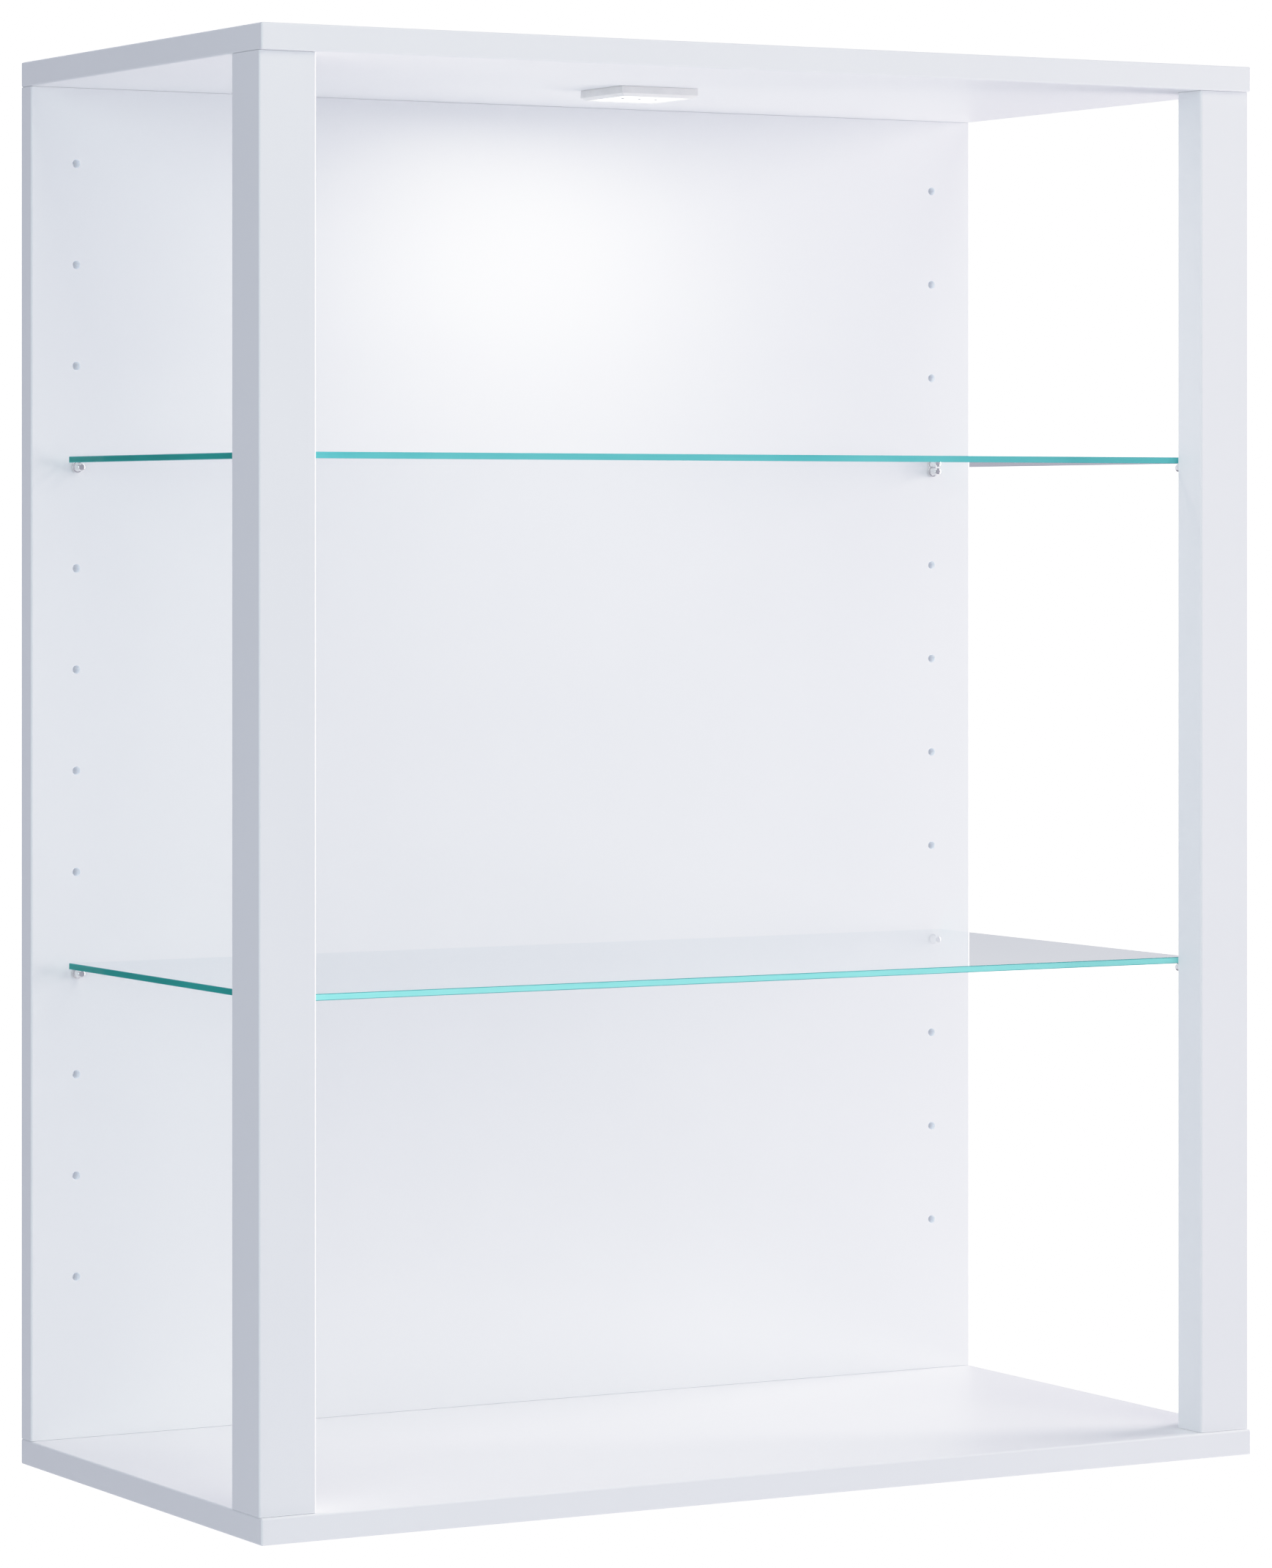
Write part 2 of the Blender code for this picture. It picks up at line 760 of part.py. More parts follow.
def make_hanger_screw(kit, place, at, plate, back, look):
    """A countersunk screw whose head lies just under the plate's face."""
    tilt = (-math.pi / 2, 0, 0)
    head = HANGER_SCREW_HEAD_RADIUS
    shank = HANGER_SCREW_RADIUS
    hole_depth = HANGER_SCREW_LENGTH + 1.0 * MM
    screw = turned(
        f"hanger_screw_{place}",
        [
            (0, -GAP),
            (head - GAP, -GAP),
            (head - GAP, -2 * GAP),
            (shank, -GAP - HANGER_THICKNESS),
            (shank, -HANGER_SCREW_LENGTH + 1.5 * MM),
            (0, -HANGER_SCREW_LENGTH),
        ],
        at,
        tilt,
    )
    smooth(screw)
    kit.add(screw, look)
    sink = turned(
        f"cut_sink_{place}",
        [
            (0, 1.0 * MM),
            (head + GAP, 1.0 * MM),
            (head + GAP, -2 * GAP),
            (shank + GAP, -GAP - HANGER_THICKNESS - GAP),
            (shank + GAP, -hole_depth),
            (0, -hole_depth),
        ],
        at,
        tilt,
    )
    kit.cut(plate, sink)
    kit.cut(back, rod(f"cut_pilot_{place}", shank + GAP, 2 * hole_depth, at, tilt))


# ---------------------------------------------------------------- the whole object


def main():
    clear_scene()
    kit = Assembly("wall_mounted_showcase")
    laminate = material("white_laminate", (0.86, 0.87, 0.89), 0.35)
    glass = material("clear_glass", (0.72, 0.90, 0.88), 0.03, alpha=0.35)
    nickel = material("nickel_plate", (0.66, 0.65, 0.62), 0.25, 1.0)
    zinc = material("zinc_plated_steel", (0.62, 0.63, 0.65), 0.38, 1.0)
    cast_zinc = material("cast_zinc", (0.50, 0.50, 0.51), 0.45, 1.0)
    beech = material("beech_dowel", (0.72, 0.52, 0.32), 0.70)
    cap_white = material("white_cap", (0.88, 0.88, 0.87), 0.40)
    light_looks = {
        "housing": material("silver_housing", (0.62, 0.63, 0.65), 0.40),
        "diffuser": material("opal_diffuser", (0.95, 0.96, 0.98), 0.30),
        "circuit": material("white_circuit_board", (0.84, 0.85, 0.82), 0.50),
        "chip": material("led_phosphor", (0.95, 0.85, 0.35), 0.40),
        "screw": zinc,
        "grommet": material("grey_rubber", (0.30, 0.31, 0.32), 0.65),
    }

    boards, back = make_boards(kit, laminate)
    posts = make_posts(kit, laminate)
    make_shelves(kit, glass)
    make_shelf_pins(kit, nickel)
    make_cam_fittings(kit, boards, back, cast_zinc, nickel)
    make_dowels(kit, boards, back, posts, beech)
    make_post_screws(kit, boards, posts, zinc, cap_white)
    make_light(kit, boards["top"], light_looks)
    make_hangers(kit, back, zinc, nickel)


main()
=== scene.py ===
"""Looks, light and camera for the wall mounted showcase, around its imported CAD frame.

Metres, in the row frame: X along the width, +Y into the wall, +Z up, the origin at the middle of
the rear face.
"""

import math

import bmesh
import bpy
from mathutils import Matrix, Vector


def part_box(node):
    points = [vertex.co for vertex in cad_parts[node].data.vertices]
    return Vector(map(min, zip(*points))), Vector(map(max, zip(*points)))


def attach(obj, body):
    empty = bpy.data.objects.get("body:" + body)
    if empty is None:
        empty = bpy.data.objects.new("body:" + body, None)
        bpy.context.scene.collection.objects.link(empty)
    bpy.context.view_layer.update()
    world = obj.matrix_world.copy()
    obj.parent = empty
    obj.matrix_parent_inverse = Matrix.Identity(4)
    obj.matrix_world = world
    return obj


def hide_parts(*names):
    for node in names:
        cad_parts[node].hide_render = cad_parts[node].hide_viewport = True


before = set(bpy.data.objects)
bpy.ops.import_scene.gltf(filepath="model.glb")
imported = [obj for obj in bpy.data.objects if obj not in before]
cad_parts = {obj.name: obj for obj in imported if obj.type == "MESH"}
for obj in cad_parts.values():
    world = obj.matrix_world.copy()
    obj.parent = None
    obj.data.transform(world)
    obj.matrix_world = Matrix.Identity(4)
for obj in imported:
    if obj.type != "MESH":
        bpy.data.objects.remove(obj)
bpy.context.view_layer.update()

MM = 0.001

# Faces of the cabinet, read from the CAD
TOP_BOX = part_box("top_panel")
BOTTOM_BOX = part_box("bottom_panel")
BACK_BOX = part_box("back_panel")
POST_BOX = {"left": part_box("left_front_post"), "right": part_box("right_front_post")}
HALF_WIDTH = TOP_BOX[1].x
TOP = TOP_BOX[1].z
CEILING = TOP_BOX[0].z
BACK_FACE = BACK_BOX[0].y
MID_BACK = (BACK_BOX[0].y + BACK_BOX[1].y) / 2
POST_FRONT = POST_BOX["left"][0].y
MID_DEPTH = (TOP_BOX[0].y + TOP_BOX[1].y) / 2
SIDES = {"left": -1, "right": 1}
ENDS = {"top": 1, "bottom": -1}
BOARDS = {"top": TOP_BOX, "bottom": BOTTOM_BOX}

# Sizes that a node's box doesn't give, the same as in the CAD
EDGE = 0.0012  # rounding of the boards' edges
GAP = 0.0003  # clearance between pieces that touch
POST_STEP = 0.026  # depth of a post's inner part
POST_LEG = 0.023  # width of the leg left behind it
STEP_FACE = POST_FRONT + POST_STEP  # where the front shelf pins stand
PEG_PITCH = 0.064
PEG_COUNT = 12
PEG_INSET = 0.031  # from each end of the cabinet
FIRST_PEG = -0.325  # height of the lowest
PEG_RADIUS = 0.0026
PEG_DEPTH = 0.0095

# Finer than in the CAD, or not in it
SEAM = 0.00012  # the joint line that shows between boards
PEG_CHAMFER = 0.00025

# How many sides and steps the pieces have
ROUND = 48
SMALL_ROUND = 32
COARSE_ROUND = 24  # hidden holes
FINE_ROUND = 16  # holes and studs under 4 mm
EDGE_STEPS = 4  # in a rounded edge

OVERCUT = 0.002  # how far a cutter stands out of the face that it cuts
FLAT = 0.999  # part of its normal that a flat face has along one axis
REARWARD = 0.3  # and that a face on the rear edge, chamfers too, has towards the wall


# ---------------------------------------------------------------- shapes


def slab(low, high, radius, steps=EDGE_STEPS):
    """A box with every edge rounded."""
    shape = bmesh.new()
    bmesh.ops.create_cube(shape, size=1.0)
    low, high = Vector(low), Vector(high)
    bmesh.ops.scale(shape, vec=high - low, verts=shape.verts)
    bmesh.ops.translate(shape, vec=(low + high) / 2, verts=shape.verts)
    if radius:
        bmesh.ops.bevel(
            shape, geom=shape.edges, offset=radius, segments=steps, profile=0.5, affect="EDGES"
        )
    return shape


def rounded(corners, radius, steps=EDGE_STEPS):
    """The outline of a right-angled shape with an arc at each corner."""
    outline = []
    for i, corner in enumerate(corners):
        here = Vector(corner)
        back = (Vector(corners[i - 1]) - here).normalized()
        ahead = (Vector(corners[(i + 1) % len(corners)]) - here).normalized()
        centre = here + (back + ahead) * radius
        for step in range(steps + 1):
            angle = math.pi / 2 * step / steps
            outline.append(centre - (ahead * math.cos(angle) + back * math.sin(angle)) * radius)
    return outline


def rectangle(low, high):
    return [(low[0], low[1]), (high[0], low[1]), (high[0], high[1]), (low[0], high[1])]


def prism(outline, low, high):
    """A flat outline drawn out along Z between two heights."""
    shape = bmesh.new()
    face = shape.faces.new([shape.verts.new((x, y, low)) for x, y in outline])
    drawn = bmesh.ops.extrude_face_region(shape, geom=[face])
    moved = [part for part in drawn["geom"] if isinstance(part, bmesh.types.BMVert)]
    bmesh.ops.translate(shape, vec=(0, 0, high - low), verts=moved)
    bmesh.ops.recalc_face_normals(shape, faces=shape.faces)
    return shape


def circle(radius, sides=ROUND):
    turns = [2 * math.pi * i / sides for i in range(sides)]
    return [(radius * math.cos(turn), radius * math.sin(turn)) for turn in turns]


def square(half, corner=0.0003):
    return rounded(rectangle((-half, -half), (half, half)), corner, 3)


def turned(profile, ring=circle, closed=False):
    """Rings of (radius, height), listed top to bottom, joined into a closed solid along Z."""
    shape = bmesh.new()
    rings = []
    for radius, height in profile:
        points = ring(radius) if radius else [(0, 0)]
        rings.append([shape.verts.new((x, y, height)) for x, y in points])
    pairs = list(zip(rings, rings[1:]))
    if closed:
        pairs.append((rings[-1], rings[0]))
    for upper, lower in pairs:
        count = max(len(upper), len(lower))
        for i in range(count):
            corners = [
                upper[i % len(upper)],
                lower[i % len(lower)],
                lower[(i + 1) % len(lower)],
                upper[(i + 1) % len(upper)],
            ]
            shape.faces.new(list(dict.fromkeys(corners)))
    bmesh.ops.recalc_face_normals(shape, faces=shape.faces)
    return shape


def placed(shape, at=(0, 0, 0), tilt=0.0, axis="X"):
    """The shape turned about an axis through the origin, in degrees, and then moved."""
    turn = Matrix.Rotation(math.radians(tilt), 4, axis)
    bmesh.ops.transform(shape, matrix=Matrix.Translation(at) @ turn, verts=shape.verts)
    return shape


def in_mm(points):
    return [(across * MM, height * MM) for across, height in points]


def bore(radius, depth, at, tilt=0.0, chamfer=0.0, sides=SMALL_ROUND):
    """A cutter for a blind hole that goes down from at, or the way tilt turns it."""
    mouth = radius + chamfer
    profile = [(0, OVERCUT), (mouth, OVERCUT), (mouth, 0)]
    if chamfer:
        profile.append((radius, -chamfer))
    profile += [(radius, -depth), (0, -depth)]
    return placed(turned(profile, lambda r: circle(r, sides)), at, tilt)


def as_mesh(name, shape):
    mesh = bpy.data.meshes.new(name)
    shape.to_mesh(mesh)
    shape.free()
    return mesh


def turn_back(mesh, at, flip=0.0):
    """Turns a mesh's Z to point at the wall and moves it, after a flip about Z in degrees."""
    back = Matrix.Rotation(math.radians(-90), 4, "X")
    mesh.transform(Matrix.Translation(at) @ back @ Matrix.Rotation(math.radians(flip), 4, "Z"))


def carved(shape, cutters, operation="DIFFERENCE"):
    """A shape with the cutters taken out of it, or joined to it. Their faces get material 1."""
    scene = bpy.context.scene.collection
    solid = bpy.data.objects.new("solid", as_mesh("solid", shape))
    joined = bmesh.new()
    for cutter in cutters:
        joined.from_mesh(as_mesh("cutter", cutter))
    for face in joined.faces:
        face.material_index = 1
    tool = bpy.data.objects.new("cutters", as_mesh("cutters", joined))
    kinds = [bpy.data.materials.new(kind) for kind in ("outside", "cut")]
    for thing in (solid, tool):
        for kind in kinds:
            thing.data.materials.append(kind)
        scene.objects.link(thing)
    boolean = solid.modifiers.new("cut", "BOOLEAN")
    boolean.operation = operation
    boolean.solver = "EXACT"
    boolean.use_self = True
    boolean.material_mode = "INDEX"
    boolean.object = tool
    graph = bpy.context.evaluated_depsgraph_get()
    mesh = bpy.data.meshes.new_from_object(solid.evaluated_get(graph))
    for thing in (solid, tool):
        bpy.data.objects.remove(thing)
    numbers = [polygon.material_index for polygon in mesh.polygons]
    mesh.materials.clear()  # this also sets every face's number to 0
    mesh.polygons.foreach_set("material_index", numbers)
    for kind in kinds:
        bpy.data.materials.remove(kind)
    return mesh


def mark_roundings(mesh):
    """A number on each face: 1 on the rounded edges, 0 on the flat faces; the laminate and housing
    looks paint a highlight where it is 1.
    """
    marks = mesh.attributes.new("rounding", "FLOAT", "FACE")
    for polygon in mesh.polygons:
        squareness = max(abs(part) for part in polygon.normal)
        marks.data[polygon.index].value = 1.0 if squareness < FLAT else 0.0


def piece(name, shape, looks, stands_for, body="cabinet", sharp=32, even=True):
    """A piece of the object, from a bmesh or a mesh, in place of a CAD node."""
    mesh = shape if isinstance(shape, bpy.types.Mesh) else as_mesh(name, shape)
    made = bpy.data.objects.new(name, mesh)
    bpy.context.scene.collection.objects.link(made)
    for look in looks:
        mesh.materials.append(look)
    mesh.shade_smooth()
    mesh.set_sharp_from_angle(angle=math.radians(sharp))
    if even:
        normals = made.modifiers.new("even_shading", "WEIGHTED_NORMAL")
        normals.keep_sharp = True
        normals.weight = 90
    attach(made, body)
    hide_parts(stands_for)


# ---------------------------------------------------------------- materials


class Look:
    """A material being made of nodes."""

    def __init__(self, name):
        self.material = bpy.data.materials.new(name)
        self.material.use_nodes = True
        self.tree = self.material.node_tree
        self.tree.nodes.clear()
        self.place = self.node("TexCoord").outputs["Object"]

    def node(self, kind, inputs=None, **settings):
        made = self.tree.nodes.new("ShaderNode" + kind)
        for name, value in settings.items():
            setattr(made, name, value)
        for name, value in (inputs or {}).items():
            if isinstance(value, bpy.types.NodeSocket):
                self.tree.links.new(value, made.inputs[name])
            else:
                made.inputs[name].default_value = value
        return made

    def stretched(self, scale):
        return self.node("Mapping", {"Vector": self.place, "Scale": scale}).outputs[0]

    def noise(self, scale, detail=2.0, stretch=None):
        where = self.stretched(stretch) if stretch else self.place
        inputs = {"Vector": where, "Scale": scale, "Detail": detail}
        return self.node("TexNoise", inputs).outputs["Fac"]

    def flecks(self, scale, stretch=None):
        where = self.stretched(stretch) if stretch else self.place
        return self.node("TexVoronoi", {"Vector": where, "Scale": scale}).outputs["Distance"]

    def span(self, value, low, high, start=0.3, end=0.7):
        """A value between start and end, as one between low and high."""
        inputs = {0: value, 1: start, 2: end, 3: low, 4: high}
        return self.node("MapRange", inputs, clamp=True).outputs[0]

    def maths(self, operation, first, second=0.0):
        return self.node("Math", {0: first, 1: second}, operation=operation).outputs[0]

    def blend(self, share, first, second):
        """A colour between two, each three numbers or a socket."""
        inputs = {0: share}
        for place, colour in ((6, first), (7, second)):
            inputs[place] = colour if isinstance(colour, bpy.types.NodeSocket) else (*colour, 1)
        return self.node("Mix", inputs, data_type="RGBA").outputs[2]

    def mark(self, name):
        return self.node("Attribute", attribute_name=name).outputs["Fac"]

    def bump(self, height, depth, strength=1.0, under=None):
        inputs = {"Height": height, "Distance": depth, "Strength": strength}
        if under is not None:
            inputs["Normal"] = under
        return self.node("Bump", inputs).outputs[0]

    def shader(self, **sockets):
        names = {name.replace(" ", "_").lower(): name for name in PRINCIPLED}
        return self.node("BsdfPrincipled", {names[key]: value for key, value in sockets.items()})

    def done(self, surface):
        self.node("OutputMaterial", {"Surface": surface.outputs[0]})
        return self.material


PRINCIPLED = (
    "Base Color",
    "Metallic",
    "Roughness",
    "IOR",
    "Normal",
    "Specular IOR Level",
    "Coat Weight",
    "Coat Roughness",
    "Emission Color",
    "Emission Strength",
)


def scaled(colour, by):
    return tuple(min(part * by, 1.0) for part in colour)


def laminate_look(name, colour, roughness=0.42):
    """Melamine-faced board: faint clouding, fine flecks, the surface's slight waviness, and a painted
    highlight on the rounded edges.
    """
    look = Look(name)
    clouds = look.noise(7.0, 3.0)
    flecks = look.noise(1400.0, 2.0)
    tone = look.blend(look.span(clouds, 0, 1), scaled(colour, 0.988), scaled(colour, 1.008))
    tone = look.blend(look.span(flecks, 0.0, 0.35), tone, scaled(colour, 0.975))
    edges = look.mark("rounding")
    # painted highlight: the rounded edges are made lighter, as where they catch the light
    tone = look.blend(look.maths("MULTIPLY", edges, 0.5), tone, scaled(colour, 1.035))
    gloss = look.span(look.noise(260.0, 3.0), roughness - 0.04, roughness + 0.05)
    gloss = look.maths("SUBTRACT", gloss, look.maths("MULTIPLY", edges, 0.08))
    waves = look.bump(look.noise(55.0, 2.0), 0.00006, 0.35)
    grain = look.bump(look.noise(2100.0, 2.0), 0.000012, 0.6, waves)
    return look.done(look.shader(base_color=tone, roughness=gloss, normal=grain, ior=1.48))


def core_look():
    """The chipboard core where a hole is drilled: pale chips, lightened against the hole's shade, and
    a faint glow that is painted light, lifting the shade deep in the hole.
    """
    look = Look("drilled_core")
    chips = look.flecks(900.0, (1, 1, 0.6))
    tone = look.blend(look.span(chips, 0, 1, 0.1, 0.6), (0.93, 0.95, 0.97), (0.84, 0.88, 0.94))
    relief = look.bump(chips, 0.0001, 0.5)
    return look.done(
        look.shader(
            base_color=tone,
            roughness=0.8,
            normal=relief,
            # painted light: a faint glow so the deep peg holes don't go as dark as their shade would
            # make them
            emission_color=(1.0, 0.98, 0.97, 1.0),
            emission_strength=look.span(chips, 0.09, 0.07, 0.1, 0.6),
        )
    )


def metal_look(name, colour, roughness, brush=(1, 1, 1), depth=0.00001, spread=0.06):
    """Plated or polished metal: fine brushing along one way and patches of duller plating."""
    look = Look(name)
    patches = look.noise(240.0, 3.0)
    lines = look.noise(2600.0, 3.0, brush)
    tone = look.blend(look.span(patches, 0, 1), scaled(colour, 0.93), scaled(colour, 1.05))
    gloss = look.span(lines, roughness - spread / 2, roughness + spread)
    return look.done(
        look.shader(
            base_color=tone, metallic=1.0, roughness=gloss, normal=look.bump(lines, depth, 0.4)
        )
    )


def spangle_look(name, colour, roughness):
    """Zinc-plated sheet: the plating's crystals, each a little lighter or duller."""
    look = Look(name)
    cells = look.node("TexVoronoi", {"Vector": look.place, "Scale": 420.0})
    share = look.node("SeparateColor", {0: cells.outputs["Color"]}).outputs[0]
    tone = look.blend(share, scaled(colour, 0.86), scaled(colour, 1.08))
    gloss = look.span(share, roughness - 0.07, roughness + 0.09, 0.0, 1.0)
    relief = look.bump(look.noise(1800.0, 3.0), 0.00001, 0.5)
    return look.done(look.shader(base_color=tone, metallic=1.0, roughness=gloss, normal=relief))


def plastic_look(name, colour, roughness, grain=1500.0, depth=0.00002):
    """Moulded plastic or rubber with a fine spark-eroded texture."""
    look = Look(name)
    fine = look.noise(grain, 3.0)
    tone = look.blend(look.span(look.noise(120.0), 0, 1), scaled(colour, 0.95), scaled(colour, 1.04))
    gloss = look.span(fine, roughness - 0.05, roughness + 0.07)
    return look.done(
        look.shader(base_color=tone, roughness=gloss, normal=look.bump(fine, depth, 0.6))
    )


def beech_look():
    """Beech along Z: long grain, short dark rays and pressed flutes."""
    look = Look("beech")
    grain = look.noise(420.0, 4.0, (1, 1, 0.06))
    rays = look.flecks(1100.0, (1, 1, 0.25))
    tone = look.blend(look.span(grain, 0, 1), (0.62, 0.40, 0.22), (0.80, 0.60, 0.38))
    tone = look.blend(look.span(rays, 0.5, 0, 0.0, 0.25), tone, (0.42, 0.24, 0.12))
    relief = look.bump(grain, 0.0001, 0.6)
    return look.done(look.shader(base_color=tone, roughness=0.68, normal=relief))


def housing_look():
    """Satin silver paint on the light's housing, with a fine pearl and a painted highlight on the
    rounded edges.
    """
    look = Look("silver_housing")
    pearl = look.noise(3200.0, 2.0)
    clouds = look.noise(90.0, 2.0)
    colour = (0.85, 0.84, 0.825)
    tone = look.blend(look.span(clouds, 0, 1), scaled(colour, 0.97), scaled(colour, 1.03))
    tone = look.blend(look.span(pearl, 0, 0.5, 0.45, 0.75), tone, scaled(colour, 1.15))
    edges = look.mark("rounding")
    # painted highlight: the rounded edges are made lighter, as where they catch the light
    tone = look.blend(look.maths("MULTIPLY", edges, 0.4), tone, scaled(colour, 1.12))
    gloss = look.span(pearl, 0.34, 0.46)
    relief = look.bump(pearl, 0.000008, 0.5)
    return look.done(
        look.shader(
            base_color=tone,
            metallic=0.0,
            roughness=gloss,
            normal=relief,
            coat_weight=0.3,
            coat_roughness=0.25,
        )
    )


def diffuser_look():
    """Opal cover, lit from behind: bright all over, a little brighter in milky patches."""
    look = Look("opal_diffuser")
    milky = look.noise(160.0, 3.0)
    tone = look.blend(look.span(milky, 0, 1), (0.90, 0.92, 0.95), (0.96, 0.97, 0.98))
    relief = look.bump(look.noise(1500.0), 0.00001, 0.4)
    return look.done(
        look.shader(
            base_color=tone,
            roughness=0.35,
            normal=relief,
            emission_color=(0.97, 0.985, 1.0, 1.0),
            emission_strength=look.span(milky, 1.30, 1.42),
        )
    )


def circuit_look():
    """White solder mask with tinned pads in rows."""
    look = Look("circuit_board")
    pads = look.flecks(330.0)
    tone = look.blend(look.span(pads, 1, 0, 0.10, 0.16), (0.84, 0.85, 0.82), (0.72, 0.70, 0.62))
    gloss = look.span(pads, 0.25, 0.45, 0.10, 0.16)
    relief = look.bump(pads, 0.00005, 0.4)
    return look.done(look.shader(base_color=tone, roughness=gloss, normal=relief))


def phosphor_look():
    """Yellow phosphor gel over an LED chip, a little grainy."""
    look = Look("led_phosphor")
    grains = look.noise(2400.0, 3.0)
    tone = look.blend(look.span(grains, 0, 1), (0.90, 0.74, 0.20), (0.97, 0.88, 0.42))
    relief = look.bump(grains, 0.00002, 0.5)
    return look.done(look.shader(base_color=tone, roughness=0.4, normal=relief))


def one_sided(look, front):
    """The front shader seen from outside, and clear glass where a ray leaves the pane."""
    back = look.node("BsdfTransparent", {"Color": (1, 1, 1, 1)})
    side = look.node("NewGeometry").outputs["Backfacing"]
    return look.done(look.node("MixShader", {0: side, 1: front.outputs[0], 2: back.outputs[0]}))


def glass_face_look():
    """A pane's large faces: what is behind shows through, and the surface mirrors by angle."""
    look = Look("glass_face")
    smears = look.noise(9.0, 3.0)
    mirror = look.node("Fresnel", {"IOR": 1.5}).outputs[0]
    share = look.maths("MAXIMUM", mirror, 0.03)
    tint = look.blend(look.span(smears, 0, 1), (0.90, 0.925, 0.93), (0.885, 0.915, 0.92))
    clear = look.node("BsdfTransparent", {"Color": tint})
    gloss = look.span(smears, 0.01, 0.03)
    film = look.shader(base_color=(0.89, 0.92, 0.94, 1), metallic=1.0, roughness=gloss)
    mix = look.node("MixShader", {0: share, 1: clear.outputs[0], 2: film.outputs[0]})
    return one_sided(look, mix)


def glass_edge_look(name, dark, light):
    """A ground and polished glass edge: teal, its own tint, with painted light in how light or dark
    it is and in the streaks that change slowly along it, for light through and reflected in the pane.
    """
    look = Look(name)
    painted_light_streaks = look.noise(16.0, 2.0, (1, 1, 0))
    lines = look.noise(900.0, 2.0, (0.02, 0.02, 1))
    # painted light: streaks of lighter and darker teal along the edge, for reflections in it
    tone = look.blend(look.span(painted_light_streaks, 0, 1), dark, light)
    tone = look.blend(look.span(lines, 0, 0.25), tone, scaled(light, 1.15))
    grind = look.bump(lines, 0.000008, 0.5)
    front = look.shader(
        base_color=tone, roughness=0.08, normal=grind, ior=1.5, specular_ior_level=0.12
    )
    return one_sided(look, front)


# ---------------------------------------------------------------- boards, back panel and posts

LAMINATE = laminate_look("white_laminate", (0.86, 0.87, 0.885))
CORE = core_look()

# Fittings between the boards: places on the right half, and sizes
CAM_X = HALF_WIDTH - 0.096
CAM_REACH = 0.034  # from the board's end to the cam's middle
CAM_POCKET = (0.0075, 0.0125)  # radius and depth, as in each pair of a hole below
BOLT_WAY_RADIUS = 0.0040
BOLT_HOLE = (0.0030, 0.0112)
DOWEL_X = HALF_WIDTH - 0.160
DOWEL_RADIUS = 0.0037
DOWEL_DEEP = 0.0185
DOWEL_SHALLOW = 0.0105
POST_DOWEL = (HALF_WIDTH - 0.028, POST_FRONT + 0.013)
POST_SCREW = (HALF_WIDTH - 0.015, POST_FRONT + 0.013)
SCREW_HEAD = 0.005
SCREW_SHANK = 0.0033
SCREW_CONE = 0.0042  # from the head's top to the cone's end
SCREW_DEPTH = 0.048
CAP_RADIUS = 0.006
CAP = 0.0018  # its thickness

# Hanger plates in the back board's rear face
HANGER_X = HALF_WIDTH - 0.096
HANGER_Z = TOP - 0.096
HANGER_HALF = (0.025, 0.015)  # half width and half height
HANGER_CORNER = 0.003
HANGER_SEAT = 0.0021  # depth
HANGER_SCREW_X = 0.018  # from the plate's middle
HANGER_PILOT = (0.0018, 0.014)
POCKET_HALF = (0.007, 0.011)
POCKET_DEPTH = 0.0105
POCKET_EDGE = 0.001
KEYHOLE_RADIUS = 0.005
KEYHOLE_SLOT = 0.00265  # half width
KEYHOLE_DROP = 0.004  # of the round hole, below the plate's middle
KEYHOLE_RISE = 0.006  # of the slot's end, above it

# Light under the top board
LED_BACKSET = 0.018  # of the cable hole and screws from the light's middle
CABLE_WAY = (0.0055, 0.030)
LED_PILOT = (0.0016, 0.011)


def peg_bores(x, face_y, tilt):
    heights = [FIRST_PEG + i * PEG_PITCH for i in range(PEG_COUNT)]
    return [bore(PEG_RADIUS, PEG_DEPTH, (x, face_y, z), tilt, PEG_CHAMFER) for z in heights]


def dowel_hole(at, depth, turn):
    return bore(DOWEL_RADIUS + GAP, depth + GAP, at, turn, sides=COARSE_ROUND)


def screw_way(x, y, up):
    """The stepped hole for a post screw and its cap, from a board's outer face."""
    head_top = -CAP - GAP
    profile = [
        (0, OVERCUT),
        (CAP_RADIUS + GAP, OVERCUT),
        (CAP_RADIUS + GAP, head_top),
        (SCREW_HEAD + GAP, head_top),
        (SCREW_HEAD + GAP, head_top - 2 * GAP),
        (SCREW_SHANK + GAP, head_top - SCREW_CONE),
        (SCREW_SHANK + GAP, head_top - SCREW_DEPTH),
        (0, head_top - SCREW_DEPTH),
    ]
    return placed(turned(profile), (x, y, up * TOP), 0 if up > 0 else 180)


def make_board(end, up):
    low, high = BOARDS[end]
    cuts = []
    inner = up * CEILING  # the board's face towards the inside
    turn = 180 if up > 0 else 0  # holes in that face go away from the inside
    for sign in SIDES.values():
        cuts.append(screw_way(sign * POST_SCREW[0], POST_SCREW[1], up))
        for x, y in ((DOWEL_X, MID_BACK), POST_DOWEL):
            cuts.append(dowel_hole((sign * x, y, inner), DOWEL_SHALLOW, turn))
        bolt = (sign * CAM_X, MID_BACK, inner)
        cuts.append(bore(*BOLT_HOLE, bolt, turn, sides=COARSE_ROUND))
    if end == "top":
        cuts.append(bore(*CABLE_WAY, (0, MID_DEPTH + LED_BACKSET, TOP), chamfer=0.0004))
        for sign in SIDES.values():
            at = (sign * LED_BACKSET, MID_DEPTH - sign * LED_BACKSET, CEILING)
            cuts.append(bore(*LED_PILOT, at, turn, sides=FINE_ROUND))
    mesh = carved(slab(low, high, EDGE), cuts)
    mark_roundings(mesh)
    piece(f"{end}_board", mesh, [LAMINATE, CORE], f"{end}_panel")


